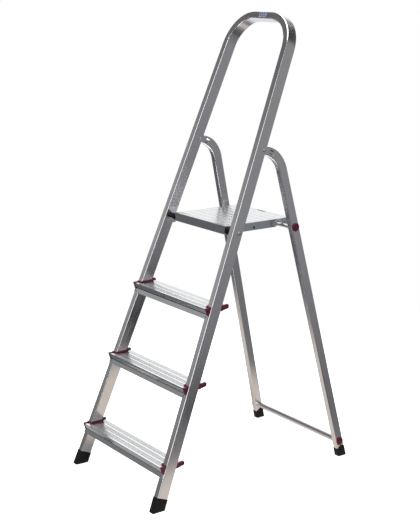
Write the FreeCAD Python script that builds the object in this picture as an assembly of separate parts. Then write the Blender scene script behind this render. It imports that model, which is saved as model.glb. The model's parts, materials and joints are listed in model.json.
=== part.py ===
import FreeCAD, Part
import math
import os

# Platform step ladder, millimetres. +Z up, -Y is the climbing side, +X is the climber's right.
# Sizes below are counted from the point on the floor where the stiles' front faces meet it;
# every shape is moved at the end so that the origin is the bottom centre of the whole ladder.

# front hoop: both stiles and the top bar are one bent tube
stile_lean = 67.9          # degrees between a stile and the floor
stile_width = 23.0         # across the ladder
stile_depth = 40.0         # front to back
tube_wall = 1.5
tube_corner = 3.0
hoop_length = 1651.0       # along the lean, floor to the top of the bar
hoop_bend = 110.5          # centre-line radius of the two top bends
foot_half_width = 253.5    # outer half width at the floor
flare = 0.0547             # how much a stile closes in for each unit of its length
stile_start = 22.0         # the tube stops this far up its own length, inside the foot

# steps
step_pitch = 239.5
first_step = 140.5
step_count = 3
nose_reach = 18.0          # in front of the stile's front face
step_depth = 84.0
tread_thick = 2.6
web_depth = 34.0           # from the tread's top to the bottom of the front web
nose_depth = 21.0
lip_depth = 19.5            # where the chamfer under the nose meets the web
lip_height = 3.6
lip_inset = 4.4             # the top of that chamfer, behind the nose's front edge
web_thick = 3.0
clip_wall = 3.0
cap_thick = 8.5            # the clip's end caps over the step's nose and rear edge
tooth_pitch = 2.6
tooth_height = 0.45

# platform
deck_top = 861.0
deck_half = 143.5
deck_front = 358.5
deck_rear = 631.0
deck_thick = 2.6
flange_drop = 28.0
side_plate = 2.0
deck_pivot_y = 369.0
deck_pivot_z = 845.0
bush_radius = 13.0
bolt_radius = 4.0

# rear legs
leg_width = 22.0
leg_depth = 32.0
leg_lean = 13.24           # degrees from upright
leg_foot_front = 785.5     # front face of a rear leg at the floor
leg_foot_half = 243.5      # outer half width at the floor
leg_pivot_along = 1200.5   # along the stile
leg_pivot_in = 31.5        # behind the stile's front face
arm_drop = 8.0             # degrees below level where the arm leaves the stile
arm_bend = 90.0
neck_turn = 26.0           # how far round the bend the crimped end has grown to the full section
end_width = 16.6           # the crimped end inside the stile
press_depth = 2.2          # of the oval press marks on the arms
end_depth = 27.0
rivet_radius = 3.0
running_gap = 0.05         # between a pin and its hole

# round tubes between the rear legs
bar_radius = 10.0
bar_wall = 1.2
upper_bar_z = 838.0
lower_bar_z = 55.5
plug_radius = 14.3

lean = math.radians(stile_lean)
along = FreeCAD.Vector(0, math.cos(lean), math.sin(lean))
behind = FreeCAD.Vector(0, math.sin(lean), -math.cos(lean))
across = FreeCAD.Vector(1, 0, 0)
slope = 1 / math.tan(lean)
leg_tilt = math.radians(leg_lean)
leg_up = FreeCAD.Vector(0, -math.sin(leg_tilt), math.cos(leg_tilt))
leg_back = FreeCAD.Vector(0, math.cos(leg_tilt), math.sin(leg_tilt))

nodes = {}


def hoop_point(x, t, s):
    return across * x + along * t + behind * s


def stile_half(z):
    """Outer half width of the front hoop at a height."""
    return foot_half_width - flare * z / math.sin(lean)


def stile_half_at(point):
    """Outer half width of the front hoop level with a point of its side faces."""
    return foot_half_width - flare * point.dot(along)


def rounded_rectangle(centre, side, up, width, height, radius):
    """Closed wire of a rectangle, its corners rounded or sharp; side and up are unit vectors."""
    a = width / 2
    b = height / 2
    edges = []
    corners = [(1, 1), (-1, 1), (-1, -1), (1, -1)]
    if radius == 0:
        points = [centre + side * (sx * a) + up * (sy * b) for sx, sy in corners]
        return Part.makePolygon(points + points[:1])
    half = math.sqrt(0.5)
    for index, (sx, sy) in enumerate(corners):
        middle = centre + side * (sx * (a - radius)) + up * (sy * (b - radius))
        if index % 2 == 0:
            start = middle + side * (sx * radius)
            end = middle + up * (sy * radius)
        else:
            start = middle + up * (sy * radius)
            end = middle + side * (sx * radius)
        through = middle + side * (sx * radius * half) + up * (sy * radius * half)
        if edges:
            edges.append(Part.LineSegment(previous, start).toShape())
        else:
            first = start
        edges.append(Part.Arc(start, through, end).toShape())
        previous = end
    edges.append(Part.LineSegment(previous, first).toShape())
    return Part.Wire(edges)


def prism(start, end, side, width, height, radius):
    """Straight bar with a rounded rectangular section; width lies along side."""
    run = end - start
    direction = FreeCAD.Vector(run)
    direction.normalize()
    up = direction.cross(side)
    up.normalize()
    level = up.cross(direction)
    section = rounded_rectangle(start, level, up, width, height, radius)
    return Part.Face(section).extrude(run)


def outline_prism(points, x_from, x_to):
    """Polygon in the Y-Z plane, extruded along X."""
    corners = [FreeCAD.Vector(x_from, y, z) for y, z in points]
    wire = Part.makePolygon(corners + corners[:1])
    return Part.Face(wire).extrude(FreeCAD.Vector(x_to - x_from, 0, 0))


def slab(low, high, half=2000.0):
    return Part.makeBox(2 * half, 2 * half, high - low, FreeCAD.Vector(-half, -half, low))


def bent_path(points, radii):
    """Wire of straight runs joined by tangent arcs at the inner points."""
    edges = []
    start = points[0]
    for index in range(1, len(points) - 1):
        corner = points[index]
        back = points[index - 1] - corner
        ahead = points[index + 1] - corner
        back.normalize()
        ahead.normalize()
        half = back.getAngle(ahead) / 2
        cut = radii[index - 1] / math.tan(half)
        middle = back + ahead
        middle.normalize()
        reach = radii[index - 1] / math.sin(half) - radii[index - 1]
        edges.append(Part.LineSegment(start, corner + back * cut).toShape())
        arc = Part.Arc(corner + back * cut, corner + middle * reach, corner + ahead * cut)
        edges.append(arc.toShape())
        start = corner + ahead * cut
    edges.append(Part.LineSegment(start, points[-1]).toShape())
    return Part.Wire(edges)


def swept(path, section):
    return path.makePipeShell([section], True, False)


def disc(centre, axis, radius, length):
    return Part.makeCylinder(radius, length, centre, axis)


def domed(centre, axis, radius, height, rim):
    """Low domed disc: a straight rim with a rounded top edge."""
    body = Part.makeCylinder(radius, rim, centre, axis)
    top = Part.makeCone(radius, radius * 0.62, height - rim, centre + axis * rim, axis)
    return body.fuse(top).removeSplitter()


def mirrored(shape):
    return shape.mirror(FreeCAD.Vector(0, 0, 0), FreeCAD.Vector(1, 0, 0))


def both_sides(name, shape):
    nodes[name + "_right"] = shape
    nodes[name + "_left"] = mirrored(shape)


# ---- places that several pieces share

leg_pivot = hoop_point(0, leg_pivot_along, leg_pivot_in)
leg_pivot_x = stile_half_at(leg_pivot) - stile_width / 2
deck_pivot = FreeCAD.Vector(0, deck_pivot_y, deck_pivot_z)
leg_centre_foot = FreeCAD.Vector(0, leg_foot_front, 0) + leg_back * (leg_depth / 2)


def leg_centre_y(z):
    return leg_centre_foot.y - (z - leg_centre_foot.z) * math.tan(leg_tilt)


leg_flare = math.degrees(math.atan((leg_foot_half - leg_width / 2 - leg_pivot_x) / leg_pivot.z))
upper_bar = FreeCAD.Vector(0, leg_centre_y(upper_bar_z), upper_bar_z)
lower_bar = FreeCAD.Vector(0, leg_centre_y(lower_bar_z), lower_bar_z)


def leg_centre_x(z):
    return leg_pivot_x + (leg_pivot.z - z) * math.tan(math.radians(leg_flare))


def flared(shape):
    """Turn a right-hand leg piece outward about the pivot."""
    shape = shape.copy()
    shape.rotate(FreeCAD.Vector(leg_pivot_x, leg_pivot.y, leg_pivot.z), FreeCAD.Vector(0, 1, 0), -leg_flare)
    return shape


def step_height(index):
    return first_step + step_pitch * index


def step_front(index):
    """Y of the stile's front face at a step's height."""
    return step_height(index) * slope


# ---- front hoop

def front_hoop():
    top = hoop_length - stile_width / 2
    half_start = foot_half_width - stile_width / 2 - flare * stile_start
    half_top = foot_half_width - stile_width / 2 - flare * top
    depth = stile_depth / 2
    points = [
        hoop_point(half_start, stile_start, depth),
        hoop_point(half_top, top, depth),
        hoop_point(-half_top, top, depth),
        hoop_point(-half_start, stile_start, depth),
    ]
    path = bent_path(points, [hoop_bend, hoop_bend])
    direction = points[1] - points[0]
    direction.normalize()
    side = behind.cross(direction)
    outer = rounded_rectangle(points[0], side, behind, stile_width, stile_depth, tube_corner)
    inner = rounded_rectangle(
        points[0], side, behind, stile_width - 2 * tube_wall, stile_depth - 2 * tube_wall,
        tube_corner - tube_wall)
    hoop = swept(path, outer).cut(swept(path, inner))
    for sign in (1, -1):
        hoop = hoop.cut(leg_slot(sign))
        hoop = hoop.cut(cross_hole(leg_pivot, sign * leg_pivot_x, rivet_radius))
        hoop = hoop.cut(cross_hole(deck_pivot, sign * (stile_half_at(deck_pivot) - stile_width / 2), bolt_radius))
    for index in range(step_count):
        for sign in (1, -1):
            hoop = hoop.cut(step_rivet_hole(index, sign))
    return hoop


def leg_slot(sign):
    """Slot in a stile's rear wall that the leg's end passes through as it folds."""
    centre = hoop_point(sign * leg_pivot_x, leg_pivot_along - 4.0, stile_depth - tube_wall / 2)
    length = 48.0
    width = stile_width - 2 * tube_wall - 0.4
    start = centre - behind * 3.0
    section = rounded_rectangle(start, across, along, width, length, 2.5)
    return Part.Face(section).extrude(behind * 6.0)


def cross_hole(point, x, radius):
    reach = stile_width + 10
    centre = FreeCAD.Vector(x - reach / 2, point.y, point.z)
    return disc(centre, across, radius + running_gap, reach)


# ---- steps

def ribbed_top(front, rear, top, bands, rib):
    """Top outline, front to rear: plain ribs with bands of fine teeth between them."""
    points = [(front, top)]
    width = (rear - front - rib * (bands + 1)) / bands
    teeth = int(width / tooth_pitch)
    pitch = width / teeth
    low = top - tooth_height
    y = front + rib
    for band in range(bands):
        points.append((y, top))
        for tooth in range(teeth):
            points.append((y + pitch * (tooth + 0.12), low))
            points.append((y + pitch * (tooth + 0.38), low))
            if tooth < teeth - 1:
                points.append((y + pitch * (tooth + 0.62), top - 0.25))
                points.append((y + pitch * (tooth + 0.88), top - 0.25))
        y += width
        points.append((y, top))
        y += rib
    points.append((rear, top))
    return points


def nose_outline():
    """End shape of the nose in front of the stile, from the tread's top down."""
    low = -nose_depth - 1.5
    return [(-nose_reach - 2.0, 1.6), (2.0, 1.6), (low * slope + 1.4, low), (low * slope - web_thick, low)]


def rear_outline():
    """End shape of the tread's rear edge behind the stile."""
    gap = stile_depth / math.sin(lean) + clip_wall + 0.5
    rear = step_depth - nose_reach
    return [(gap - 8.0, -14.0), (rear, -8.5), (rear + 2.6, -5.5), (rear + 3.2, 1.0), (rear + 1.2, 4.4),
            (rear - 5.0, 4.4), (gap - 3.0, -1.0)]


def placed(points, index):
    """Outline points at a step: y from the stile's front face, z from the tread's top."""
    return [(step_front(index) + y, step_height(index) + z) for y, z in points]


def stile_bar(index, sign, inside, outside, front, back, low, high):
    """Block that follows a stile past a step, cut level at low and high above the tread."""
    middle = step_height(index) / math.sin(lean)
    x_in = foot_half_width - stile_width - inside
    x_out = foot_half_width + outside
    centre = (x_in + x_out) / 2
    depth = (front + back) / 2
    points = []
    for t in (middle - 90.0, middle + 90.0):
        points.append(hoop_point(sign * (centre - flare * t), t, depth))
    bar = prism(points[0], points[1], across, x_out - x_in, back - front, 0)
    return bar.common(slab(step_height(index) + low, step_height(index) + high))


def step(index):
    half = stile_half(step_height(index)) - 0.5
    rear = step_depth - nose_reach
    drop = web_depth * slope
    top = ribbed_top(-nose_reach + 1.0, rear - 1.0, 0.0, 3, 6.0)
    outline = [(-nose_reach, -1.0)] + top + [(rear, -1.0), (rear, -4.0)]
    gap = stile_depth / math.sin(lean)
    outline += [(gap - 6.5, -16.5), (gap - 16.0, -27.0), (gap - 18.0, -27.0), (gap - 8.8, -16.5)]
    outline += [(gap - 0.4, -tread_thick), (0.0 - tread_thick * slope, -tread_thick)]
    outline += [(-drop + 9.0, -web_depth + 2.0), (-drop + 16.0, -web_depth + 2.0),
                (-drop + 16.0, -web_depth), (-drop - web_thick, -web_depth)]
    chamfer = -lip_depth + lip_height
    outline += [(-lip_depth * slope - web_thick, -lip_depth), (-nose_reach + lip_inset, chamfer),
                (-nose_reach, -4.0)]
    body = outline_prism(placed(outline, index), -half, half)
    nose_room = [(-nose_reach + 2.2, -tread_thick), (-tread_thick * slope - 2.0, -tread_thick),
                 (-lip_depth * slope - 1.0, chamfer - 0.2), (-lip_depth * slope - 1.8, chamfer - 0.2)]
    rear_room = [(gap + 2.0, -tread_thick), (rear - 3.5, -tread_thick), (gap - 3.6, -14.0), (gap - 4.6, -14.0)]
    web_room = [(-nose_depth * slope + 0.1, -nose_depth), (gap - 14.0, -nose_depth),
                (gap - 3.0, -tread_thick - 0.3), (-tread_thick * slope + 0.1, -tread_thick - 0.3)]
    body = body.cut(outline_prism(placed(nose_room, index), -half - 1, half + 1))
    body = body.cut(outline_prism(placed(rear_room, index), -half - 1, half + 1))
    inner = half - stile_width
    for sign in (1, -1):
        body = body.cut(stile_bar(index, sign, clip_wall, 30.0, 0.0, stile_depth + clip_wall, -80.0, 20.0))
        for end in (nose_outline(), rear_outline()):
            x_from = sign * (half - cap_thick)
            body = body.cut(outline_prism(placed(end, index), x_from, x_from + sign * 40))
        body = body.cut(step_rivet_hole(index, sign))
    return largest(body)


def largest(shape):
    """The main solid: what a notch leaves loose is thrown away."""
    return max(shape.Solids, key=lambda solid: solid.Volume)


def step_rivet_point(index, sign):
    """Centre of a step rivet's head, on the front face of the web."""
    down = web_depth - 6.5
    z = step_height(index) - down
    t = z / math.sin(lean)
    x = foot_half_width - flare * t - stile_width / 2
    return hoop_point(sign * x, t, 0) - behind * (web_thick * math.sin(lean))


def step_rivet_hole(index, sign):
    return disc(step_rivet_point(index, sign) - behind * 2, behind, 2.4, 9.0)


def step_rivet(index, sign):
    start = step_rivet_point(index, sign)
    head = domed(start, behind * -1, 3.9, 1.3, 0.5)
    shank = disc(start, behind, 2.35, 5.6)
    tail = disc(start + behind * 5.0, behind, 3.2, 2.0)
    return head.fuse(shank).fuse(tail).removeSplitter()


def clip(index):
    """Right-hand end clip: a collar round three sides of the stile with two end caps."""
    half = stile_half(step_height(index)) - 0.5
    wall = stile_bar(index, 1, clip_wall, -stile_width, 0.0, stile_depth + clip_wall, -7.0, 5.5)
    front = stile_bar(index, 1, clip_wall, 0.0, -clip_wall, 0.0, 0.0, 4.0)
    back = stile_bar(index, 1, clip_wall, 0.0, stile_depth, stile_depth + clip_wall, -7.0, 4.0)
    tab = stile_bar(index, 1, clip_wall, 5.0 - stile_width, stile_depth, stile_depth + clip_wall, -7.0, 11.0)
    nose = outline_prism(placed(nose_outline(), index), half - cap_thick, half)
    rear = outline_prism(placed(rear_outline(), index), half - cap_thick, half)
    shape = wall.fuse([front, back, tab, nose, rear]).removeSplitter()
    stile = stile_bar(index, 1, 0.0, 30.0, 0.0, stile_depth, -80.0, 60.0)
    return largest(shape.cut(stile))


# ---- platform

def deck():
    flange_bottom = deck_top - flange_drop
    top = ribbed_top(deck_front + 2.0, deck_rear - 1.0, deck_top, 9, 7.0)
    outline = [(deck_front, flange_bottom), (deck_front, deck_top - 2.0)] + top
    outline += [(deck_rear, deck_top - 1.0), (deck_rear, deck_top - 8.0), (deck_rear - 1.6, deck_top - 8.0),
                (deck_rear - 1.6, deck_top - deck_thick), (deck_front + 2.0, deck_top - deck_thick),
                (deck_front + 2.0, flange_bottom)]
    body = outline_prism(outline, -deck_half, deck_half)
    slot = rounded_rectangle(
        FreeCAD.Vector(0, deck_rear - 13.0, deck_top - 6.0), across, FreeCAD.Vector(0, 1, 0), 44.0, 8.0, 3.9)
    body = body.cut(Part.Face(slot).extrude(FreeCAD.Vector(0, 0, 12.0)))
    for sign in (1, -1):
        corner = FreeCAD.Vector(sign * deck_half, deck_front - 1, flange_bottom)
        cutter = Part.makeBox(14, 5, 14, FreeCAD.Vector(corner.x - 7, corner.y, corner.z - 7))
        round_centre = FreeCAD.Vector(sign * (deck_half - 7), deck_front - 1, flange_bottom + 7)
        cutter = cutter.cut(disc(round_centre, FreeCAD.Vector(0, 1, 0), 7.0, 5.0))
        body = body.cut(cutter)
    return body


def hook_room(x_from, x_to, gap):
    """The tube's seat in a hook and the ways out of it, down and round the leg pivot."""
    radius = bar_radius + gap
    width = x_to - x_from
    fall = 40.0
    seat = disc(FreeCAD.Vector(x_from, upper_bar.y, upper_bar.z), across, radius, width)
    below = Part.makeBox(
        width, 2 * radius, fall, FreeCAD.Vector(x_from, upper_bar.y - radius, upper_bar.z - fall))
    pivot = FreeCAD.Vector(x_from, leg_pivot.y, leg_pivot.z)
    reach = (upper_bar - leg_pivot).Length
    ring = disc(pivot, across, reach + radius, width).cut(disc(pivot, across, reach - radius, width))
    rear = math.atan2(upper_bar.y - leg_pivot.y, leg_pivot.z - upper_bar.z)
    sector = [(pivot.y, pivot.z)]
    for turn in (rear, rear - math.radians(40.0)):
        sector.append((pivot.y + 2 * reach * math.sin(turn), pivot.z - 2 * reach * math.cos(turn)))
    return seat.fuse([below, ring.common(outline_prism(sector, x_from, x_to))])


def side_plate_right():
    bottom = deck_top - flange_drop + 1.0
    top = deck_top - deck_thick
    rear = upper_bar.y + bar_radius + 5.6
    lip = upper_bar.z - 16.0
    plate = outline_prism(
        [(deck_front + 2.0, bottom + 3.0), (deck_front + 5.0, bottom), (rear - 7.0, bottom), (rear - 3.5, lip),
         (rear - 1.0, lip), (rear, lip + 2.0), (rear, top), (deck_front + 2.0, top)],
        deck_half - side_plate, deck_half)
    flange = Part.makeBox(
        14.0, rear - deck_front - 2.0, side_plate,
        FreeCAD.Vector(deck_half - 14.0, deck_front + 2.0, top - side_plate))
    bead = disc(FreeCAD.Vector(deck_half, upper_bar.y, upper_bar.z), across, bar_radius + 4.2, 1.5)
    plate = plate.fuse([flange, bead])
    plate = plate.cut(hook_room(deck_half - 20, deck_half + 6, 0.6))
    plate = plate.cut(cross_hole(deck_pivot, deck_half, bolt_radius))
    plate = plate.cut(disc(plate_rivet_point() - across * 20, across, 2.45, 40.0))
    return largest(plate.removeSplitter())


def plate_rivet_point():
    return FreeCAD.Vector(deck_half, deck_front + 118.0, deck_top - 18.0)


def plate_rivet():
    start = plate_rivet_point()
    head = domed(start, across, 4.0, 1.3, 0.5)
    shank = disc(start - across * 4.0, across, 2.4, 4.0)
    tail = disc(start - across * 5.0, across, 3.4, 5.0 - side_plate)
    return head.fuse(shank).fuse(tail).removeSplitter()


def hook_saddle():
    """Curled saddle over the cross tube, inside the side plate."""
    x_from = deck_half - side_plate - 14.0
    x_to = deck_half - side_plate
    top = deck_top - deck_thick - side_plate
    outer = disc(FreeCAD.Vector(x_from, upper_bar.y, upper_bar.z), across, bar_radius + 4.6, x_to - x_from)
    neck = outline_prism(
        [(upper_bar.y - 9.0, upper_bar.z + 8.0), (upper_bar.y + 9.0, upper_bar.z + 8.0),
         (upper_bar.y + 12.0, top), (upper_bar.y - 12.0, top)], x_from, x_to)
    lip = outline_prism(
        [(upper_bar.y + bar_radius, upper_bar.z), (upper_bar.y + bar_radius + 4.6, upper_bar.z),
         (upper_bar.y + bar_radius + 4.6, upper_bar.z - 12.0), (upper_bar.y + bar_radius, upper_bar.z - 14.0)],
        x_from, x_to)
    shape = outer.fuse([neck, lip]).removeSplitter()
    return largest(shape.cut(hook_room(x_from - 1, x_to + 1, 0.6)))


def pivot_bush():
    """Spacer between the platform's side plate and the stile, a little wider at the plate."""
    inner = stile_half_at(deck_pivot) - stile_width
    start = FreeCAD.Vector(deck_half + 0.3, deck_pivot.y, deck_pivot.z)
    length = inner - start.x - 0.8
    collar = disc(start, across, bush_radius, 9.0)
    body = Part.makeCone(bush_radius - 1.5, bush_radius - 4.0, length - 9.0, start + across * 9.0, across)
    return collar.fuse(body).cut(disc(start - across, across, bolt_radius + running_gap, length + 2))


def pivot_bolt():
    outer = stile_half_at(deck_pivot)
    start = FreeCAD.Vector(deck_half - side_plate - 6.0, deck_pivot.y, deck_pivot.z)
    shank = disc(start, across, bolt_radius, outer + 1.4 - start.x)
    head = domed(FreeCAD.Vector(outer + 0.9, deck_pivot.y, deck_pivot.z), across, 7.0, 2.8, 1.2)
    nut = hexagon(FreeCAD.Vector(deck_half - side_plate - 6.0, deck_pivot.y, deck_pivot.z), 6.5, 5.8)
    return shank.fuse([head, nut]).removeSplitter()


def hexagon(start, radius, length):
    corners = []
    for index in range(7):
        turn = math.radians(60 * index)
        corners.append(start + FreeCAD.Vector(0, radius * math.cos(turn), radius * math.sin(turn)))
    return Part.Face(Part.makePolygon(corners)).extrude(across * length)


def support_bracket():
    """Small bracket riveted to the stile's inner face under the platform's side."""
    inner = stile_half_at(deck_pivot - FreeCAD.Vector(0, 0, 14)) - stile_width - 0.6
    y = deck_pivot.y
    top = deck_pivot.z - bush_radius - 1.0
    block = outline_prism([(y - 9.0, top), (y + 9.0, top), (y + 5.0, top - 18.0), (y - 9.0, top - 18.0)],
                          inner - 14.0, inner)
    below = Part.makeBox(30.0, 40.0, 30.0, FreeCAD.Vector(inner - 16.0, y - 20.0, top - 33.0))
    below.rotate(FreeCAD.Vector(inner - 2.0, y, top - 18.0), FreeCAD.Vector(0, 1, 0), -58.0)
    return largest(block.cut(below))


# ---- rear legs

def leg_section(centre, direction, width, depth, radius):
    up = across.cross(direction)
    return rounded_rectangle(centre, across, up, width, depth, radius)


def leg_route():
    """Pivot, arm corner and foot of the leg's centre line, before it is flared."""
    drop = math.radians(arm_drop)
    arm = FreeCAD.Vector(0, math.cos(drop), -math.sin(drop))
    start = FreeCAD.Vector(leg_pivot_x, leg_pivot.y, leg_pivot.z)
    foot = FreeCAD.Vector(leg_pivot_x, leg_centre_foot.y, leg_centre_foot.z)
    gap = foot - start
    # arm * a - leg_up * b = gap, solved in the Y-Z plane
    det = -arm.y * leg_up.z + arm.z * leg_up.y
    a = (-gap.y * leg_up.z + gap.z * leg_up.y) / det
    corner = start + arm * a
    return start, arm, corner, foot


def arm_place(turned):
    """Point and direction on the arm's bend, turned degrees past its start."""
    start, arm, corner, foot = leg_route()
    down = leg_up * -1
    half = (math.pi - arm.getAngle(down)) / 2
    bend_start = corner - arm * (arm_bend / math.tan(half))
    inward = across.cross(arm) * -1
    centre = bend_start + inward * arm_bend
    turn = math.radians(turned)
    point = centre - inward * (arm_bend * math.cos(turn)) + arm * (arm_bend * math.sin(turn))
    direction = arm * math.cos(turn) + inward * math.sin(turn)
    return point, direction


def arc_between(first, second):
    a = arm_place(first)[0]
    b = arm_place((first + second) / 2)[0]
    c = arm_place(second)[0]
    return Part.Arc(a, b, c).toShape()


def leg_solid(shrink):
    """Leg tube with every wall moved in by shrink."""
    start, arm, corner, foot = leg_route()
    total = math.degrees(arm.getAngle(leg_up * -1))
    taper = neck_turn
    radius = tube_corner + 1.0 - shrink
    end_w = end_width - 2 * shrink
    end_d = end_depth - 2 * shrink
    full_w = leg_width - 2 * shrink
    full_d = leg_depth - 2 * shrink
    stop = foot + leg_up * 10.0
    path = Part.Wire([arc_between(taper, total), Part.LineSegment(arm_place(total)[0], stop).toShape()])
    point, direction = arm_place(taper)
    main = swept(path, leg_section(point, direction, full_w, full_d, radius))
    wires = []
    for part in (0.0, 0.5, 1.0):
        point, direction = arm_place(taper * part)
        width = end_w + (full_w - end_w) * part
        depth = end_d + (full_d - end_d) * part
        wires.append(leg_section(point, direction, width, depth, radius))
    neck = Part.makeLoft(wires, True, False)
    first, direction = arm_place(0.0)
    tongue = Part.Face(leg_section(first, direction, end_w, end_d, radius)).extrude(
        arm * -((first - start).Length + end_depth / 2))
    nose = disc(start - across * 20, across, end_depth / 2 - shrink, 40.0)
    keep = nose.fuse(Part.makeBox(40, 80, 80, FreeCAD.Vector(start.x - 20, start.y, start.z - 40)))
    return main.fuse([neck, tongue.common(keep)])


def dimple(side, grow):
    """Oval press mark on a side face of the arm, larger by grow all round."""
    point, direction = arm_place(neck_turn * 0.7)
    up = across.cross(direction)
    half = (end_width + (leg_width - end_width) * 0.7) / 2
    deep = point + across * (side * (half - press_depth - grow))
    shallow = point + across * (side * (half + 0.9))
    small = rounded_rectangle(deep, direction, up, 15.0 + grow, 7.0 + grow, 3.4 + grow / 2)
    large = rounded_rectangle(shallow, direction, up, 27.0 + 2 * grow, 17.0 + 2 * grow, 8.4 + grow)
    return Part.makeLoft([small, large], True, True)


def rear_leg():
    cavity = leg_solid(tube_wall)
    for side in (1, -1):
        cavity = cavity.cut(dimple(side, tube_wall))
    body = leg_solid(0.0).cut(cavity)
    for side in (1, -1):
        body = body.cut(dimple(side, 0.0))
    body = flared(body)
    body = body.cut(cross_hole(leg_pivot, leg_pivot_x, rivet_radius))
    for bar in (upper_bar, lower_bar):
        x = leg_centre_x(bar.z)
        body = body.cut(disc(FreeCAD.Vector(x - 25, bar.y, bar.z), across, bar_radius + running_gap, 50.0))
    return largest(body)


def leg_rivet():
    outer = stile_half_at(leg_pivot)
    start = FreeCAD.Vector(outer - stile_width - 2.2, leg_pivot.y, leg_pivot.z)
    shank = disc(start, across, rivet_radius, stile_width + 4.2)
    head = domed(FreeCAD.Vector(outer + 0.9, start.y, start.z), across, 5.0, 2.2, 0.9)
    tail = domed(FreeCAD.Vector(outer - stile_width - 0.9, start.y, start.z), across * -1, 5.0, 2.2, 0.9)
    return shank.fuse([head, tail]).removeSplitter()


def round_bar(place):
    half = leg_centre_x(place.z) + leg_width / 2 - 0.8
    start = FreeCAD.Vector(-half, place.y, place.z)
    return disc(start, across, bar_radius, 2 * half).cut(disc(start, across, bar_radius - bar_wall, 2 * half))


def tube_plug(place):
    """Plug pushed into the end of a round bar, with a head on the leg's outer face."""
    outer = leg_centre_x(place.z) + leg_width / 2
    start = FreeCAD.Vector(outer + 0.8, place.y, place.z)
    head = domed(start, across, plug_radius, 5.0, 1.6)
    shank = disc(FreeCAD.Vector(outer - 16.0, place.y, place.z), across, bar_radius - bar_wall - 0.02, 16.8)
    return head.fuse(shank).removeSplitter()


# ---- feet

def front_foot():
    """Cap over the bottom of the right-hand stile, with tread grooves below."""
    proud = 1.8
    top = 51.0
    centre = foot_half_width - stile_width / 2
    start = hoop_point(centre + flare * 60, -60.0, stile_depth / 2)
    end = hoop_point(centre - flare * top, top, stile_depth / 2)
    cap = prism(start, end, across, stile_width + 2 * proud, stile_depth + 2 * proud, tube_corner + proud)
    cap = cap.common(slab(0.0, 200.0))
    room_start = hoop_point(centre - flare * stile_start, stile_start, stile_depth / 2)
    room = prism(room_start, end + (end - start) * 0.1, across, stile_width, stile_depth, tube_corner)
    cap = cap.cut(room)
    for index in range(4):
        groove = Part.makeBox(60.0, 2.0, 1.6, FreeCAD.Vector(centre - 30.0, 5.0 + 9.5 * index, -0.1))
        cap = cap.cut(groove)
    return largest(cap)


def rear_foot():
    """Cap over the bottom of the right-hand rear leg; its side faces peak in the middle."""
    proud = 1.6
    start = FreeCAD.Vector(leg_pivot_x, leg_centre_foot.y, leg_centre_foot.z)
    low = start - leg_up * 40.0
    high = start + leg_up * 36.0
    cap = prism(low, high, across, leg_width + 2 * proud, leg_depth + 2 * proud, tube_corner + 1 + proud)
    room = prism(start + leg_up * 10.0, high + leg_up * 10.0, across, leg_width, leg_depth, tube_corner + 1.0)
    for side in (1, -1):
        ridge = start + leg_up * 35.0 + leg_back * 3.0
        edge = start + leg_up * 26.0 + leg_back * (side * 19.0)
        above = start + leg_up * 50.0
        points = [ridge, edge, edge + leg_up * 30.0, above + leg_back * 3.0]
        cutter = outline_prism([(p.y, p.z) for p in points], leg_pivot_x - 30.0, leg_pivot_x + 30.0)
        cap = cap.cut(cutter)
    cap = flared(cap.cut(room)).common(slab(0.0, 200.0))
    for index in range(3):
        groove = Part.makeBox(
            60.0, 2.0, 1.6, FreeCAD.Vector(leg_foot_half - 41.0, leg_foot_front + 6.0 + 9.0 * index, -0.1))
        cap = cap.cut(groove)
    return largest(cap)


# ---- label

def label():
    """Plain sticker on the front of the top bar."""
    start = hoop_point(0, hoop_length - stile_width / 2, 0)
    section = rounded_rectangle(start, across, along, 38.0, 14.5, 1.5)
    return Part.Face(section).extrude(behind * -0.3)


# ---- assembly

nodes["front_hoop"] = front_hoop()
step_names = ["lower", "middle", "upper"]
for index in range(step_count):
    nodes["step_" + step_names[index]] = step(index)
    both_sides("clip_" + step_names[index], clip(index))
    both_sides("step_rivet_" + step_names[index], step_rivet(index, 1))
both_sides("foot_front", front_foot())
both_sides("support_bracket", support_bracket())
nodes["label"] = label()
nodes["platform_deck"] = deck()
both_sides("platform_side", side_plate_right())
both_sides("platform_hook", hook_saddle())
both_sides("platform_rivet", plate_rivet())
both_sides("pivot_bush", pivot_bush())
both_sides("pivot_bolt", pivot_bolt())
both_sides("rear_leg", rear_leg())
both_sides("leg_rivet", leg_rivet())
nodes["cross_tube"] = round_bar(upper_bar)
nodes["lower_bar"] = round_bar(lower_bar)
both_sides("plug_upper", tube_plug(upper_bar))
both_sides("plug_lower", tube_plug(lower_bar))
both_sides("foot_rear", rear_foot())

whole = Part.makeCompound(list(nodes.values())).BoundBox
centre_y = (whole.YMin + whole.YMax) / 2
move = FreeCAD.Vector(0, -centre_y, 0)

os.makedirs("parts", exist_ok=True)
for name, shape in nodes.items():
    shape.translate(move)
    if len(shape.Solids) != 1 or not shape.isValid():
        print("check", name, len(shape.Solids), shape.isValid())
    shape.exportStep("parts/" + name + ".step")

print("nodes", len(nodes))
print("box", whole.XLength, whole.YLength, whole.ZLength, "z from", whole.ZMin)
print("leg pivot", leg_pivot + move, "x", leg_pivot_x)
print("platform pivot", deck_pivot + move)
print("cross tube", upper_bar + move)
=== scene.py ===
import bmesh
import bpy
import json
import math
from mathutils import Matrix, Vector


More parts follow.
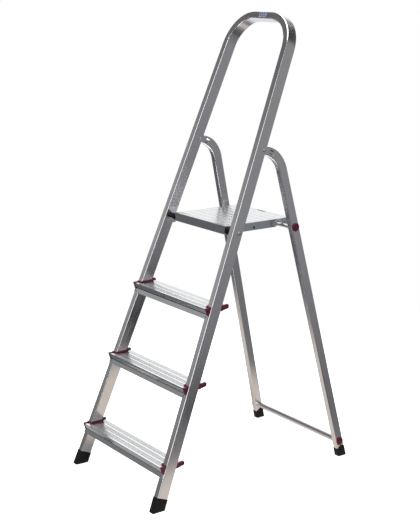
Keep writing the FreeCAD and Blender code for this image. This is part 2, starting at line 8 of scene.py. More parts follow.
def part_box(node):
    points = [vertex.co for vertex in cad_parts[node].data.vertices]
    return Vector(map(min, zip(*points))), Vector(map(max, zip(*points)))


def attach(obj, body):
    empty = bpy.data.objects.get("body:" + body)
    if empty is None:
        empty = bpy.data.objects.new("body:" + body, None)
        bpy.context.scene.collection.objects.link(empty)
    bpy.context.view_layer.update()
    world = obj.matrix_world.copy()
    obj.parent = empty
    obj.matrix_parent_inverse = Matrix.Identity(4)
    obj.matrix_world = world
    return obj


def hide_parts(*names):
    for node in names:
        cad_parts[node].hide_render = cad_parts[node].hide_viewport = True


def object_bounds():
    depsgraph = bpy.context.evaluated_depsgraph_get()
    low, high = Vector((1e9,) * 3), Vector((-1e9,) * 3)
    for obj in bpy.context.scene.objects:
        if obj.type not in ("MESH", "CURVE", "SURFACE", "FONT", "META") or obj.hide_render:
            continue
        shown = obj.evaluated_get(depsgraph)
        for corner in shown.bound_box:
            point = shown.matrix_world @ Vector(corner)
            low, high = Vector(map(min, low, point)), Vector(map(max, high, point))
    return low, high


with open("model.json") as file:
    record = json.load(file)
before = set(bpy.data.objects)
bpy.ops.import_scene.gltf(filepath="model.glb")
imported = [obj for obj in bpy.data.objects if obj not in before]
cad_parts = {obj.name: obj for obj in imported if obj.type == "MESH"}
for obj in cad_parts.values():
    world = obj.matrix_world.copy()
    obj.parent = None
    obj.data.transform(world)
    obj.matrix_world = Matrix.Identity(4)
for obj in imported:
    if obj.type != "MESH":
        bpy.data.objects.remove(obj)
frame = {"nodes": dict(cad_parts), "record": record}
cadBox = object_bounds()
nodeObjects = frame["nodes"]
print("frame loaded:", len(nodeObjects), "nodes")


def addNode(tree, kind, **values):
    node = tree.nodes.new(kind)
    for key, value in values.items():
        setattr(node, key, value)
    return node


def setInputs(node, **values):
    for key, value in values.items():
        node.inputs[key.replace("_", " ")].default_value = value
    return node


def newGroup(name, inputs, outputs):
    # inputs are (name, socket type, start value) rows, outputs (name, socket type) rows
    group = bpy.data.node_groups.new(name, "ShaderNodeTree")
    for label, kind, start in inputs:
        socket = group.interface.new_socket(label, in_out="INPUT", socket_type=kind)
        if start is not None:
            socket.default_value = start
    for label, kind in outputs:
        group.interface.new_socket(label, in_out="OUTPUT", socket_type=kind)
    return group, group.nodes.new("NodeGroupInput"), group.nodes.new("NodeGroupOutput")


def plainNoise(group, source, scale, detail):
    noise = addNode(group, "ShaderNodeTexNoise")
    setInputs(noise, Scale=scale, Detail=detail, Roughness=0.5)
    group.links.new(source, noise.inputs["Vector"])
    return noise.outputs["Fac"]


def ramp(group, source, low, high, start, end):
    node = addNode(group, "ShaderNodeMapRange")
    node.inputs["From Min"].default_value = low
    node.inputs["From Max"].default_value = high
    node.inputs["To Min"].default_value = start
    node.inputs["To Max"].default_value = end
    group.links.new(source, node.inputs["Value"])
    return node.outputs["Result"]


def combine(tree, operation, first, second):
    node = addNode(tree, "ShaderNodeMath", operation=operation)
    for index, value in enumerate((first, second)):
        if hasattr(value, "links"):
            tree.links.new(value, node.inputs[index])
        else:
            node.inputs[index].default_value = value
    return node.outputs[0]


# what the shader groups below have in common on every material that uses them
surfaceDetail = {
    "bandStretch": (0.16, 0.16, 0.35),    # how much wider and longer the bands are than the lines
    "cloudRange": (0.35, 0.68), "speckRange": (0.66, 0.74), "speckFiner": 26.0,
    "edgeReach": 0.0009,
    "shadeScale": 40.0, "shadeRange": (0.3, 0.7),
    "stripEdge": 0.05, "topSkin": 0.0015, "noseDepth": 0.0085,
}


def makeDrawLines(detail):
    # fine lengthwise lines of a drawn or extruded bar; Z of Vector runs along the bar
    group, given, out = newGroup(
        "drawLines",
        [("Vector", "NodeSocketVector", None), ("Fineness", "NodeSocketFloat", 900.0),
         ("Run", "NodeSocketFloat", 3.0)],
        [("Lines", "NodeSocketFloat"), ("Bands", "NodeSocketFloat")])
    pack = addNode(group, "ShaderNodeCombineXYZ")
    for axis in "XY":
        group.links.new(given.outputs["Fineness"], pack.inputs[axis])
    group.links.new(given.outputs["Run"], pack.inputs["Z"])
    scaled = addNode(group, "ShaderNodeVectorMath", operation="MULTIPLY")
    group.links.new(given.outputs["Vector"], scaled.inputs[0])
    group.links.new(pack.outputs[0], scaled.inputs[1])
    lines = plainNoise(group, scaled.outputs[0], 1.0, 3.0)
    group.links.new(lines, out.inputs["Lines"])
    wider = addNode(group, "ShaderNodeVectorMath", operation="MULTIPLY")
    group.links.new(scaled.outputs[0], wider.inputs[0])
    wider.inputs[1].default_value = detail["bandStretch"]
    bands = plainNoise(group, wider.outputs[0], 1.0, 2.0)
    group.links.new(bands, out.inputs["Bands"])
    return group


def makeHandling(detail):
    # faint cloudy marks left by hands and packing
    group, given, out = newGroup(
        "handlingMarks",
        [("Vector", "NodeSocketVector", None), ("Scale", "NodeSocketFloat", 9.0)],
        [("Cloud", "NodeSocketFloat"), ("Specks", "NodeSocketFloat")])
    cloud = addNode(group, "ShaderNodeTexNoise")
    setInputs(cloud, Detail=4.0, Roughness=0.6, Distortion=0.4)
    group.links.new(given.outputs["Vector"], cloud.inputs["Vector"])
    group.links.new(given.outputs["Scale"], cloud.inputs["Scale"])
    group.links.new(ramp(group, cloud.outputs["Fac"], *detail["cloudRange"], 0.0, 1.0), out.inputs["Cloud"])
    finer = addNode(group, "ShaderNodeMath", operation="MULTIPLY")
    finer.inputs[1].default_value = detail["speckFiner"]
    group.links.new(given.outputs["Scale"], finer.inputs[0])
    speck = addNode(group, "ShaderNodeTexNoise")
    setInputs(speck, Detail=2.0)
    group.links.new(given.outputs["Vector"], speck.inputs["Vector"])
    group.links.new(finer.outputs[0], speck.inputs["Scale"])
    group.links.new(ramp(group, speck.outputs["Fac"], *detail["speckRange"], 0.0, 1.0), out.inputs["Specks"])
    return group


def makeEdgeWear(detail):
    # white where an edge is within reach, black on open faces
    group, given, out = newGroup(
        "edgeWear", [("Gain", "NodeSocketFloat", 6.0)], [("Mask", "NodeSocketFloat")])
    bevel = addNode(group, "ShaderNodeBevel", samples=4)
    bevel.inputs["Radius"].default_value = detail["edgeReach"]
    shape = addNode(group, "ShaderNodeNewGeometry")
    dot = addNode(group, "ShaderNodeVectorMath", operation="DOT_PRODUCT")
    group.links.new(bevel.outputs[0], dot.inputs[0])
    group.links.new(shape.outputs["Normal"], dot.inputs[1])
    away = addNode(group, "ShaderNodeMath", operation="SUBTRACT")
    away.inputs[0].default_value = 1.0
    group.links.new(dot.outputs["Value"], away.inputs[1])
    gain = addNode(group, "ShaderNodeMath", operation="MULTIPLY", use_clamp=True)
    group.links.new(away.outputs[0], gain.inputs[0])
    group.links.new(given.outputs["Gain"], gain.inputs[1])
    group.links.new(gain.outputs[0], out.inputs["Mask"])
    return group


def makeMouldGrain(detail):
    # fine spark-eroded grain of moulded plastic and rubber
    group, given, out = newGroup(
        "mouldGrain",
        [("Vector", "NodeSocketVector", None), ("Scale", "NodeSocketFloat", 1400.0)],
        [("Grain", "NodeSocketFloat"), ("Shade", "NodeSocketFloat")])
    cells = addNode(group, "ShaderNodeTexVoronoi")
    group.links.new(given.outputs["Vector"], cells.inputs["Vector"])
    group.links.new(given.outputs["Scale"], cells.inputs["Scale"])
    group.links.new(cells.outputs["Distance"], out.inputs["Grain"])
    group.links.new(plainNoise(group, given.outputs["Vector"], detail["shadeScale"], 3.0), out.inputs["Shade"])
    return group


def makeRibBands(detail):
    # first output: painted highlight, bright plain strips between bands of fine ribs, side by side along Y from
    # Start, on the top skin only;
    # second output: painted shade, the dark line under the nose, between two depths below Top
    group, given, out = newGroup(
        "ribBands",
        [("Vector", "NodeSocketVector", None), ("Start", "NodeSocketFloat", 0.0),
         ("Pitch", "NodeSocketFloat", 0.03), ("Share", "NodeSocketFloat", 0.3), ("Top", "NodeSocketFloat", 1.0),
         ("CreaseShadeTop", "NodeSocketFloat", 0.0), ("CreaseShadeBottom", "NodeSocketFloat", 0.0)],
        [("Strip", "NodeSocketFloat"), ("CreaseShade", "NodeSocketFloat")])
    parts = addNode(group, "ShaderNodeSeparateXYZ")
    group.links.new(given.outputs["Vector"], parts.inputs[0])
    along = combine(group, "SUBTRACT", parts.outputs["Y"], given.outputs["Start"])
    turns = combine(group, "FRACT", combine(group, "DIVIDE", along, given.outputs["Pitch"]), 0.0)
    half = combine(group, "MULTIPLY", given.outputs["Share"], 0.5)
    away = combine(group, "ABSOLUTE", combine(group, "SUBTRACT", turns, half), 0.0)
    away = combine(group, "MINIMUM", away, combine(group, "SUBTRACT", 1.0, away))
    inside = combine(group, "SUBTRACT", combine(group, "ADD", half, detail["stripEdge"]), away)
    # painted highlight: bright plain strips, kept to the top skin below
    stripHighlight = ramp(group, inside, 0.0, 2 * detail["stripEdge"], 0.0, 1.0)
    below = combine(group, "SUBTRACT", given.outputs["Top"], parts.outputs["Z"])
    upper = combine(group, "LESS_THAN", below, detail["topSkin"])
    group.links.new(combine(group, "MULTIPLY", stripHighlight, upper), out.inputs["Strip"])
    # painted shade: a dark line between the two crease depths below Top, at the front within noseDepth of Start
    under = combine(group, "GREATER_THAN", below, given.outputs["CreaseShadeTop"])
    above = combine(group, "LESS_THAN", below, given.outputs["CreaseShadeBottom"])
    nose = combine(group, "LESS_THAN", along, detail["noseDepth"])
    creaseShade = combine(group, "MULTIPLY", nose, combine(group, "MULTIPLY", under, above))
    group.links.new(creaseShade, out.inputs["CreaseShade"])
    return group


drawLines = makeDrawLines(surfaceDetail)
ribBands = makeRibBands(surfaceDetail)
handlingMarks = makeHandling(surfaceDetail)
edgeWear = makeEdgeWear(surfaceDetail)
mouldGrain = makeMouldGrain(surfaceDetail)
print("shader groups made")


def newMaterial(name):
    material = bpy.data.materials.new(name)
    material.use_nodes = True
    tree = material.node_tree
    tree.nodes.clear()
    shader = tree.nodes.new("ShaderNodeBsdfPrincipled")
    output = tree.nodes.new("ShaderNodeOutputMaterial")
    tree.links.new(shader.outputs[0], output.inputs["Surface"])
    return material, tree, shader


def useGroup(tree, group, vector=None, **values):
    node = addNode(tree, "ShaderNodeGroup", node_tree=group)
    for key, value in values.items():
        node.inputs[key].default_value = value
    if vector is not None:
        tree.links.new(vector, node.inputs["Vector"])
    return node


def turnedPlace(tree, axis, degrees):
    place = addNode(tree, "ShaderNodeTexCoord")
    turn = addNode(tree, "ShaderNodeVectorRotate", rotation_type=axis + "_AXIS")
    turn.inputs["Angle"].default_value = math.radians(degrees)
    tree.links.new(place.outputs["Object"], turn.inputs["Vector"])
    return turn.outputs["Vector"]


def crossedPlace(tree, place, height):
    # above this height the hoop runs from side to side, and so do its lines
    parts = addNode(tree, "ShaderNodeSeparateXYZ")
    tree.links.new(addNode(tree, "ShaderNodeTexCoord").outputs["Object"], parts.inputs[0])
    picker = addNode(tree, "ShaderNodeMix", data_type="VECTOR")
    tree.links.new(combine(tree, "GREATER_THAN", parts.outputs["Z"], height), picker.inputs[0])
    tree.links.new(place, picker.inputs[4])
    tree.links.new(turnedPlace(tree, *crossTurn), picker.inputs[5])
    return picker.outputs[1]


def mixColour(tree, factor, first, second):
    node = addNode(tree, "ShaderNodeMix", data_type="RGBA")
    for index, value in ((6, first), (7, second)):
        if hasattr(value, "links"):
            tree.links.new(value, node.inputs[index])
        else:
            node.inputs[index].default_value = (*value, 1.0)
    tree.links.new(factor, node.inputs[0])
    return node.outputs[2]


def bump(tree, shader, height, strength, distance):
    node = addNode(tree, "ShaderNodeBump")
    node.inputs["Strength"].default_value = strength
    node.inputs["Distance"].default_value = distance
    tree.links.new(height, node.inputs["Height"])
    tree.links.new(node.outputs["Normal"], shader.inputs["Normal"])


def makeAluminium(name, turn, settings):
    material, tree, shader = newMaterial(name)
    place = turnedPlace(tree, *turn)
    if "crossAbove" in settings:
        place = crossedPlace(tree, place, settings["crossAbove"])
    lines = useGroup(tree, drawLines, place, Fineness=settings["fineness"], Run=settings["run"])
    marks = useGroup(tree, handlingMarks, place, Scale=settings["cloudScale"])
    wear = useGroup(tree, edgeWear, Gain=settings["wearGain"])
    body = mixColour(tree, lines.outputs["Bands"], settings["dark"], settings["light"])
    clouds = combine(tree, "MULTIPLY", marks.outputs["Cloud"], settings["cloudShare"])
    body = mixColour(tree, clouds, body, settings["dull"])
    specks = combine(tree, "MULTIPLY", marks.outputs["Specks"], settings["speckShare"])
    body = mixColour(tree, specks, body, settings["speck"])
    body = mixColour(tree, wear.outputs["Mask"], body, settings["edge"])
    if "strips" in settings:
        flat = addNode(tree, "ShaderNodeTexCoord").outputs["Object"]
        bands = useGroup(tree, ribBands, flat, **settings["strips"])
        # painted highlight: the plain strips of the top made bright
        body = mixColour(tree, bands.outputs["Strip"], body, settings["stripHighlight"])
        # painted shade: the dark line under the tread nose
        body = mixColour(tree, bands.outputs["CreaseShade"], body, settings["creaseShade"])
    tree.links.new(body, shader.inputs["Base Color"])
    shadeRange = surfaceDetail["shadeRange"]
    rough = ramp(tree, lines.outputs["Bands"], *shadeRange, settings["smooth"], settings["rough"])
    handled = combine(tree, "MULTIPLY", marks.outputs["Cloud"], settings["cloudRough"])
    polished = combine(tree, "MULTIPLY", wear.outputs["Mask"], settings["edgeGloss"])
    rough = combine(tree, "SUBTRACT", combine(tree, "ADD", rough, handled), polished)
    tree.links.new(rough, shader.inputs["Roughness"])
    shader.inputs["Metallic"].default_value = 1.0
    bump(tree, shader, lines.outputs["Lines"], settings["bump"], settings["bumpDepth"])
    return material


def makePlastic(name, settings):
    material, tree, shader = newMaterial(name)
    place = addNode(tree, "ShaderNodeTexCoord").outputs["Object"]
    grain = useGroup(tree, mouldGrain, place, Scale=settings["grainScale"])
    marks = useGroup(tree, handlingMarks, place, Scale=settings["cloudScale"])
    wear = useGroup(tree, edgeWear, Gain=settings["wearGain"])
    body = mixColour(tree, grain.outputs["Shade"], settings["dark"], settings["light"])
    dust = combine(tree, "MULTIPLY", marks.outputs["Cloud"], settings["dust"])
    body = mixColour(tree, dust, body, settings["dusty"])
    worn = combine(tree, "MULTIPLY", wear.outputs["Mask"], settings["edgeShare"])
    body = mixColour(tree, worn, body, settings["edge"])
    tree.links.new(body, shader.inputs["Base Color"])
    rough = ramp(
        tree, grain.outputs["Shade"], *surfaceDetail["shadeRange"], settings["smooth"], settings["rough"])
    tree.links.new(rough, shader.inputs["Roughness"])
    shader.inputs["Specular IOR Level"].default_value = settings["specular"]
    bump(tree, shader, grain.outputs["Grain"], settings["bump"], settings["bumpDepth"])
    return material


bareMetal = {
    "fineness": 900.0, "run": 3.0, "cloudScale": 9.0, "cloudShare": 0.35, "cloudRough": 0.07, "speckShare": 0.4,
    "wearGain": 3.0, "bumpDepth": 0.00006,
    "dark": (0.665, 0.66, 0.68), "light": (0.715, 0.705, 0.73), "dull": (0.62, 0.618, 0.635),
    "speck": (0.58, 0.58, 0.585), "edge": (0.86, 0.86, 0.87),
    "smooth": 0.14, "rough": 0.20, "bump": 0.06, "edgeGloss": -0.22,
}
# in ribbedMetal, strip is a painted highlight colour and crease a painted shade colour
ribbedMetal = dict(
    bareMetal, light=(0.79, 0.80, 0.81), dark=(0.71, 0.72, 0.73), dull=(0.70, 0.71, 0.725), run=0.8, bump=0.015,
    cloudScale=6.0, edge=(0.8, 0.8, 0.81), edgeGloss=0.0, stripHighlight=(0.97, 0.97, 0.96), creaseShade=(0.05, 0.05, 0.052))
# crease holds the depths below the top of the painted shade line under the nose; the deck has none
treadRibs = {"depth": 0.082, "rib": 0.006, "bands": 3, "rearGap": 0.001, "creaseShade": (0.0160, 0.0200)}
deckRibs = {"depth": 0.2695, "rib": 0.007, "bands": 9, "rearGap": 0.001, "creaseShade": (0.0, 0.0)}    # no crease
blueMetal = dict(bareMetal, light=(0.64, 0.67, 0.72), dark=(0.58, 0.61, 0.66), dull=(0.54, 0.57, 0.62))
redPlastic = {
    "grainScale": 1500.0, "dark": (0.050, 0.0006, 0.011), "light": (0.074, 0.0010, 0.016),
    "dust": 0.08, "dusty": (0.09, 0.006, 0.024), "edge": (0.12, 0.004, 0.026),
    "smooth": 0.30, "rough": 0.44, "bump": 0.25, "bumpDepth": 0.00015, "specular": 0.3,
    "cloudScale": 30.0, "wearGain": 3.0, "edgeShare": 0.5,
}
blackRubber = dict(
    redPlastic, grainScale=1100.0, dark=(0.003, 0.003, 0.0033), light=(0.006, 0.006, 0.0065),
    dust=0.2, dusty=(0.016, 0.0155, 0.015), edge=(0.018, 0.018, 0.018),
    smooth=0.46, rough=0.62, bump=0.45, specular=0.16)
blackPlastic = dict(blackRubber, smooth=0.34, rough=0.48, grainScale=1500.0, dust=0.15)

stileTurn = ("X", 22.1)     # Z along the stiles
legTurn = ("X", -13.24)     # Z along the rear legs
crossTurn = ("Y", 90.0)     # Z along pieces that run from side to side


def makeSticker(settings):
    # printed film: grey border, blue field and one paler stripe
    material, tree, shader = newMaterial("plainSticker")
    low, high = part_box("label")
    place = addNode(tree, "ShaderNodeTexCoord")
    parts = addNode(tree, "ShaderNodeSeparateXYZ")
    tree.links.new(place.outputs["Object"], parts.inputs[0])
    middle = (low + high) / 2
    half = (high - low) / 2
    across = combine(tree, "ABSOLUTE", combine(tree, "SUBTRACT", parts.outputs["X"], middle.x), 0.0)
    upward = combine(tree, "ABSOLUTE", combine(tree, "SUBTRACT", parts.outputs["Z"], middle.z), 0.0)
    inside = combine(
        tree, "MULTIPLY",
        combine(tree, "LESS_THAN", across, half.x - settings["border"]),
        combine(tree, "LESS_THAN", upward, half.z - settings["border"]))
    stripe = combine(tree, "MULTIPLY", inside, combine(tree, "LESS_THAN", upward, settings["stripe"]))
    body = mixColour(tree, inside, settings["rim"], settings["field"])
    body = mixColour(tree, stripe, body, settings["band"])
    tree.links.new(body, shader.inputs["Base Color"])
    grain = useGroup(tree, mouldGrain, place.outputs["Object"], Scale=settings["grainScale"])
    rough = ramp(
        tree, grain.outputs["Shade"], *surfaceDetail["shadeRange"], settings["smooth"], settings["rough"])
    tree.links.new(rough, shader.inputs["Roughness"])
    bump(tree, shader, grain.outputs["Grain"], settings["bump"], settings["bumpDepth"])
    return material


hoopLook = {"topBar": 0.045}    # height of the part of the hoop that runs from side to side
hoopTop = max(corner[2] for corner in nodeObjects["front_hoop"].bound_box)
crossAbove = hoopTop - hoopLook["topBar"]
slotMaterials = {
    "stile_tube": makeAluminium("stileAluminium", stileTurn, dict(bareMetal, crossAbove=crossAbove)),
    "leg_tube": makeAluminium("legAluminium", legTurn, bareMetal),
    "round_tube": makeAluminium("tubeAluminium", crossTurn, dict(bareMetal, smooth=0.07, rough=0.12)),
    "deck_side": makeAluminium("sideAluminium", crossTurn, blueMetal),
    "hook": makeAluminium("hookAluminium", crossTurn, dict(blueMetal, smooth=0.24, rough=0.32)),
    "bracket": makeAluminium("bracketAluminium", crossTurn, bareMetal),
    "dark_rivet": makeAluminium("darkRivetSteel", crossTurn, dict(
        bareMetal, dark=(0.07, 0.07, 0.075), light=(0.10, 0.10, 0.105), dull=(0.06, 0.06, 0.06),
        speck=(0.05, 0.05, 0.05), edge=(0.2, 0.2, 0.2), smooth=0.30, rough=0.42)),
    "rivet": makeAluminium("rivetAluminium", crossTurn, dict(
        bareMetal, fineness=1500.0, dark=(0.34, 0.34, 0.35), light=(0.42, 0.42, 0.43), edge=(0.5, 0.5, 0.5),
        smooth=0.52, rough=0.62, edgeGloss=0.0)),
    "clip": makePlastic("clipPlastic", redPlastic),
    "plug": makePlastic("plugPlastic", dict(redPlastic, smooth=0.24, rough=0.38)),
    "foot": makePlastic("footRubber", blackRubber),
    "bush": makePlastic("bushPlastic", blackPlastic),
    "sticker": makeSticker({
        "border": 0.0016, "stripe": 0.0016, "rim": (0.26, 0.28, 0.31),
        "field": (0.05, 0.075, 0.15), "band": (0.16, 0.19, 0.26),
        "grainScale": 900.0, "smooth": 0.28, "rough": 0.4, "bump": 0.1, "bumpDepth": 0.00005}),
}


def ribPlaces(node, ribs):
    # where the strips of one ribbed top start, how far apart they are and how much of that is plain
    low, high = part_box(node)
    pitch = (ribs["depth"] - ribs["rib"]) / ribs["bands"]
    return {
        "Start": high.y - ribs["rearGap"] - ribs["depth"], "Pitch": pitch, "Share": ribs["rib"] / pitch,
        "Top": high.z, "CreaseShadeTop": ribs["creaseShade"][0], "CreaseShadeBottom": ribs["creaseShade"][1]}


ribbedTops = {"platform_deck": ("deck", deckRibs)}
for level in ("lower", "middle", "upper"):
    ribbedTops["step_" + level] = ("tread", treadRibs)
nodeMaterials = {}
for node, (finish, ribs) in ribbedTops.items():
    look = dict(ribbedMetal, strips=ribPlaces(node, ribs))
    nodeMaterials[node] = makeAluminium(finish + "Ribs_" + node, crossTurn, look)
nodeSlots = {row["node"]: row["material_slot"] for row in frame["record"]["subparts"]}
for name, thing in nodeObjects.items():
    for holder in thing.material_slots:
        holder.material = nodeMaterials[name] if name in nodeMaterials else slotMaterials[nodeSlots[name]]
print("materials:", len(slotMaterials) + len(nodeMaterials))


def standIn(name, node, body, mesh):
    # the piece that takes a node's place, on the same body, with whatever finish its given mesh carries
    piece = bpy.data.objects.new(name, mesh)
    bpy.context.scene.collection.objects.link(piece)
    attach(piece, body)
    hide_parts(node)
    return piece


def softened(name, node, body, settings):
    # a copy of a moulded piece with its edges rounded off
    mesh = nodeObjects[node].data.copy()
    mesh.name = name
    work = bmesh.new()
    work.from_mesh(mesh)
    bmesh.ops.remove_doubles(work, verts=work.verts, dist=settings["weld"])
    bmesh.ops.dissolve_limit(
        work, angle_limit=math.radians(settings["flat"]), verts=work.verts, edges=work.edges)
    for face in work.faces:
        face.smooth = True
    work.to_mesh(mesh)
    work.free()
    rounding = standIn(name, node, body, mesh).modifiers.new("rounding", "BEVEL")
    rounding.width = settings["round"]
    rounding.segments = settings["segments"]
    rounding.limit_method = "ANGLE"
    rounding.angle_limit = math.radians(settings["sharp"])
    rounding.use_clamp_overlap = True
    rounding.harden_normals = True


def turned(name, node, body, profile, steps, axisStart, outward):
    # a round piece turned from (radius, height) rows; height runs along outward
    work = bmesh.new()
    rings = []
    for radius, height in profile:
        ring = []
        if radius <= 0:
            ring = [work.verts.new((0, 0, height))] * steps
        else:
            for index in range(steps):
                turn = 2 * math.pi * index / steps
                ring.append(work.verts.new((radius * math.cos(turn), radius * math.sin(turn), height)))
        rings.append(ring)
    for lower, upper in zip(rings, rings[1:]):
        for index in range(steps):
            after = (index + 1) % steps
            corners = []
            for vert in (lower[index], lower[after], upper[after], upper[index]):
                if vert not in corners:
                    corners.append(vert)
            if len(corners) > 2:
                work.faces.new(corners).smooth = True
    bmesh.ops.recalc_face_normals(work, faces=work.faces)
    mesh = bpy.data.meshes.new(name)
    aim = Vector((0, 0, 1)).rotation_difference(Vector(outward)).to_matrix().to_4x4()
    work.transform(Matrix.Translation(axisStart) @ aim)
    work.to_mesh(mesh)
    work.free()
    mesh.materials.append(slotMaterials[nodeSlots[node]])
    standIn(name, node, body, mesh)


def outerEnd(node, side):
    # outermost point on the axis of a round piece that lies along X, and its radius
    low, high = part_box(node)
    middle = (low + high) / 2
    return Vector((high.x if side > 0 else low.x, middle.y, middle.z)), (high.z - low.z) / 2


sides = (("left", -1), ("right", 1))
clipLook = {"round": 0.0007, "segments": 3, "flat": 2.0, "sharp": 25.0, "weld": 0.00001}
for level in ("lower", "middle", "upper"):
    for label, side in sides:
        softened("mouldedClip_" + level + "_" + label, "clip_" + level + "_" + label, "front_frame", clipLook)

plugLook = {
    "flange": 0.005, "rim": 0.0012, "chamfer": 0.0003, "crown": 0.62, "arcSteps": 9,
    "shankRadius": 0.00875, "shank": 0.0165, "turnSteps": 40,
}


def plugProfile(radius, look):
    # shank, back of the flange, rim, then a flattened dome up to the tip at height 0
    back = -look["flange"]
    rows = [(0, back - look["shank"]), (look["shankRadius"], back - look["shank"]), (look["shankRadius"], back),
            (radius - look["chamfer"], back), (radius, back + look["chamfer"]), (radius, back + look["rim"])]
    for index in range(1, look["arcSteps"]):
        turn = math.pi / 2 * index / look["arcSteps"]
        height = back + look["rim"] + (look["flange"] - look["rim"]) * math.sin(turn)
        rows.append((radius * math.cos(turn) ** look["crown"], height))
    rows.append((0, 0))
    return rows


for level in ("upper", "lower"):
    for label, side in sides:
        node = "plug_" + level + "_" + label
        tip, radius = outerEnd(node, side)
        profile = plugProfile(radius, plugLook)
        name = "domedPlug_" + level + "_" + label
        turned(name, node, "rear_frame", profile, plugLook["turnSteps"], tip, (side, 0, 0))

footLook = {"round": 0.0011, "segments": 3, "flat": 3.0, "sharp": 28.0, "weld": 0.00001}
for end, body in (("front", "front_frame"), ("rear", "rear_frame")):
    for label, side in sides:
        softened("mouldedFoot_" + end + "_" + label, "foot_" + end + "_" + label, body, footLook)
print("moulded pieces made")

# the studio, as the metal reflects it: bright and dark areas on its floor and walls
studio = {
    "floorRadius": 40.0, "floorSides": 96, "floorGap": 0.0003, "floorClear": 1.1, "floorFade": 2.2,
    "floorColour": (0.94, 0.935, 0.93), "floorRough": 0.6, "floorGlow": 0.62, "patchEdge": (0.75, 1.15),
    "leftFloor": (0.125, 0.131, 0.142), "nearFloor": (0.205, 0.205, 0.213), "farFloor": (0.30, 0.30, 0.312),
    "nearFar": (1.5, 6.0), "sideBlend": (-0.4, 0.4),
    "rightSide": 0.33, "leftSide": 0.13, "sideDirection": (0.8, 0.6, 0.0), "sideReach": (-0.9, 0.9),
    "backWall": 0.92, "lowWall": 0.83, "backDirection": (-0.80, 0.50, 0.28), "backReach": (0.86, 0.955),
    "wallFoot": (0.07, 0.15), "wallRise": (0.24, 0.34),
    "frontBand": 0.36, "frontDirection": (-0.8, -0.6, 0.0), "frontReach": (0.55, 0.9),
    "bandRise": (0.02, 0.235), "bandFall": (0.235, 0.385),
    "darkDirection": (0.28, 0.83, 0.47), "darkReach": (0.89, 0.97), "darkLevel": 0.15,
    "ceiling": 0.45, "ceilingRise": (0.6, 0.95), "wallColour": (0.99, 0.995, 1.0),
}
floorPatches = (
    {"middle": (0.12, 0.10), "turn": 120.0, "size": (0.66, 0.42), "colour": (0.82, 0.74, 0.65)},
    {"middle": (-0.27, -0.53), "turn": 0.0, "size": (0.44, 0.22), "colour": (0.42, 0.42, 0.43)},
    {"middle": (-0.55, 0.04), "turn": 12.0, "size": (0.64, 0.23), "colour": (0.80, 0.73, 0.64)},
    {"middle": (-2.4, 1.6), "turn": 146.0, "size": (1.9, 1.1), "colour": (0.98, 0.98, 0.98)},
    {"middle": (1.02, 0.60), "turn": 38.0, "size": (0.50, 0.26), "colour": (0.01, 0.01, 0.012)},
)


def facing(tree, place, direction, reach, start, end):
    # goes from start to end as place turns towards direction, over the reach of the cosine
    toward = addNode(tree, "ShaderNodeVectorMath", operation="DOT_PRODUCT")
    toward.inputs[1].default_value = Vector(direction).normalized()
    tree.links.new(place, toward.inputs[0])
    return ramp(tree, toward.outputs["Value"], *reach, start, end)


def patchMask(tree, place, patch, edge):
    # 1 in the middle of an oval area of the floor, 0 outside it
    turn = math.radians(patch["turn"])
    reach = []
    for direction, half in zip(
            ((math.cos(turn), math.sin(turn)), (-math.sin(turn), math.cos(turn))), patch["size"]):
        along = addNode(tree, "ShaderNodeVectorMath", operation="DOT_PRODUCT")
        along.inputs[1].default_value = (direction[0] / half, direction[1] / half, 0.0)
        tree.links.new(place, along.inputs[0])
        offset = (patch["middle"][0] * direction[0] + patch["middle"][1] * direction[1]) / half
        across = combine(tree, "SUBTRACT", along.outputs["Value"], offset)
        reach.append(combine(tree, "MULTIPLY", across, across))
    distance = combine(tree, "SQRT", combine(tree, "ADD", reach[0], reach[1]), 0.0)
    return ramp(tree, distance, *edge, 1.0, 0.0)


def makeFloor(settings):
    work = bmesh.new()
    bmesh.ops.create_circle(
        work, cap_ends=True, radius=settings["floorRadius"], segments=settings["floorSides"])
    mesh = bpy.data.meshes.new("studioFloor")
    work.to_mesh(mesh)
    work.free()
    floor = bpy.data.objects.new("studioFloor", mesh)
    bpy.context.scene.collection.objects.link(floor)
    floor.location = (0, 0, cadBox[0].z - settings["floorGap"])
    material, tree, shader = newMaterial("paleFloor")
    shader.inputs["Base Color"].default_value = (*settings["floorColour"], 1)
    shader.inputs["Roughness"].default_value = settings["floorRough"]
    shader.inputs["Specular IOR Level"].default_value = 0.0
    shader.inputs["Emission Color"].default_value = (1, 1, 1, 1)
    shader.inputs["Emission Strength"].default_value = settings["floorGlow"]
    place = addNode(tree, "ShaderNodeTexCoord").outputs["Object"]
    length = addNode(tree, "ShaderNodeVectorMath", operation="LENGTH")
    tree.links.new(place, length.inputs[0])
    farther = ramp(tree, length.outputs["Value"], *settings["nearFar"], 0.0, 1.0)
    right = mixColour(tree, farther, settings["nearFloor"], settings["farFloor"])
    toRight = facing(tree, place, settings["sideDirection"], settings["sideBlend"], 0.0, 1.0)
    reflected = mixColour(tree, toRight, settings["leftFloor"], right)
    for patch in floorPatches:
        mask = patchMask(tree, place, patch, settings["patchEdge"])
        reflected = mixColour(tree, mask, reflected, patch["colour"])
    glow = addNode(tree, "ShaderNodeEmission")
    tree.links.new(reflected, glow.inputs["Color"])
    # further out the floor runs into an even white backdrop
    white = addNode(tree, "ShaderNodeEmission")
    fade = addNode(tree, "ShaderNodeMixShader")
    faded = ramp(tree, length.outputs["Value"], settings["floorClear"], settings["floorFade"], 0.0, 1.0)
    tree.links.new(faded, fade.inputs[0])
    tree.links.new(shader.outputs[0], fade.inputs[1])
    tree.links.new(white.outputs[0], fade.inputs[2])
    rays = addNode(tree, "ShaderNodeLightPath")
    mix = addNode(tree, "ShaderNodeMixShader")
    tree.links.new(rays.outputs["Is Glossy Ray"], mix.inputs[0])
    tree.links.new(fade.outputs[0], mix.inputs[1])
    tree.links.new(glow.outputs[0], mix.inputs[2])
    output = [node for node in tree.nodes if node.type == "OUTPUT_MATERIAL"][0]
    tree.links.new(mix.outputs[0], output.inputs["Surface"])
    mesh.materials.append(material)


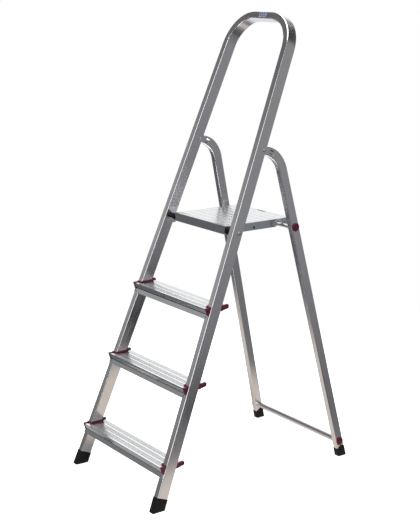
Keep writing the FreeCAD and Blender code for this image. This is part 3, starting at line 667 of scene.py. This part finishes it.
def makeWorld(settings):
    world = bpy.data.worlds.new("studio")
    bpy.context.scene.world = world
    world.use_nodes = True
    tree = world.node_tree
    tree.nodes.clear()
    place = addNode(tree, "ShaderNodeTexCoord").outputs["Generated"]
    parts = addNode(tree, "ShaderNodeSeparateXYZ")
    tree.links.new(place, parts.inputs[0])
    height = parts.outputs["Z"]
    base = facing(
        tree, place, settings["sideDirection"], settings["sideReach"],
        settings["leftSide"], settings["rightSide"])
    wall = facing(tree, place, settings["backDirection"], settings["backReach"], 0.0, settings["backWall"])
    wall = combine(tree, "MULTIPLY", wall, ramp(tree, height, *settings["wallFoot"], 0.0, 1.0))
    wall = combine(tree, "MULTIPLY", wall, ramp(tree, height, *settings["wallRise"], settings["lowWall"], 1.0))
    front = facing(tree, place, settings["frontDirection"], settings["frontReach"], 0.0, settings["frontBand"])
    rise = ramp(tree, height, *settings["bandRise"], 0.0, 1.0)
    fall = ramp(tree, height, *settings["bandFall"], 1.0, 0.0)
    band = combine(tree, "MULTIPLY", front, combine(tree, "MULTIPLY", rise, fall))
    ceiling = ramp(tree, height, *settings["ceilingRise"], 0.0, settings["ceiling"])
    level = combine(tree, "ADD", combine(tree, "ADD", base, wall), combine(tree, "ADD", band, ceiling))
    flag = facing(tree, place, settings["darkDirection"], settings["darkReach"], 1.0, settings["darkLevel"])
    level = combine(tree, "MULTIPLY", level, flag)
    room = addNode(tree, "ShaderNodeBackground")
    room.inputs["Color"].default_value = (*settings["wallColour"], 1)
    tree.links.new(level, room.inputs["Strength"])
    plain = addNode(tree, "ShaderNodeBackground")
    plain.inputs["Color"].default_value = (1, 1, 1, 1)
    seen = addNode(tree, "ShaderNodeLightPath")
    mix = addNode(tree, "ShaderNodeMixShader")
    output = addNode(tree, "ShaderNodeOutputWorld")
    tree.links.new(seen.outputs["Is Camera Ray"], mix.inputs[0])
    tree.links.new(room.outputs[0], mix.inputs[1])
    tree.links.new(plain.outputs[0], mix.inputs[2])
    tree.links.new(mix.outputs[0], output.inputs["Surface"])


softboxes = {
    "softboxTop": {"place": (0.2, 0.2, 3.4), "target": (0, 0, 0), "size": (3.2, 3.2), "power": 150.0},
    "softboxFront": {"place": (2.95, -3.5, 2.25), "target": (0, 0, 0.8), "size": (3.6, 3.2), "power": 75.0},
}


def makeSoftbox(name, settings):
    light = bpy.data.lights.new(name, "AREA")
    light.shape = "RECTANGLE"
    light.size, light.size_y = settings["size"]
    light.energy = settings["power"]
    lamp = bpy.data.objects.new(name, light)
    bpy.context.scene.collection.objects.link(lamp)
    lamp.location = settings["place"]
    lamp.rotation_mode = "QUATERNION"
    toward = Vector(settings["target"]) - Vector(settings["place"])
    lamp.rotation_quaternion = toward.to_track_quat("-Z", "Y")
    lamp.visible_camera = False


makeFloor(studio)
makeWorld(studio)
for name, look in softboxes.items():
    makeSoftbox(name, look)

cameraPlace = {"azimuth": 54.258, "down": 13.494, "place": (3.1738, -2.2913, 1.6407), "lens": 81.56}


def makeCamera(settings):
    data = bpy.data.cameras.new("camera")
    data.sensor_fit = "AUTO"
    data.sensor_width = 36.0
    data.lens = settings["lens"]
    camera = bpy.data.objects.new("camera", data)
    bpy.context.scene.collection.objects.link(camera)
    turn, down = math.radians(settings["azimuth"]), math.radians(settings["down"])
    back = Vector((math.sin(turn) * math.cos(down), -math.cos(turn) * math.cos(down), math.sin(down)))
    camera.location = settings["place"]
    camera.rotation_mode = "QUATERNION"
    camera.rotation_quaternion = (-back).to_track_quat("-Z", "Y")
    bpy.context.scene.camera = camera


makeCamera(cameraPlace)
bpy.context.scene.view_settings.view_transform = "Standard"
print("studio ready")
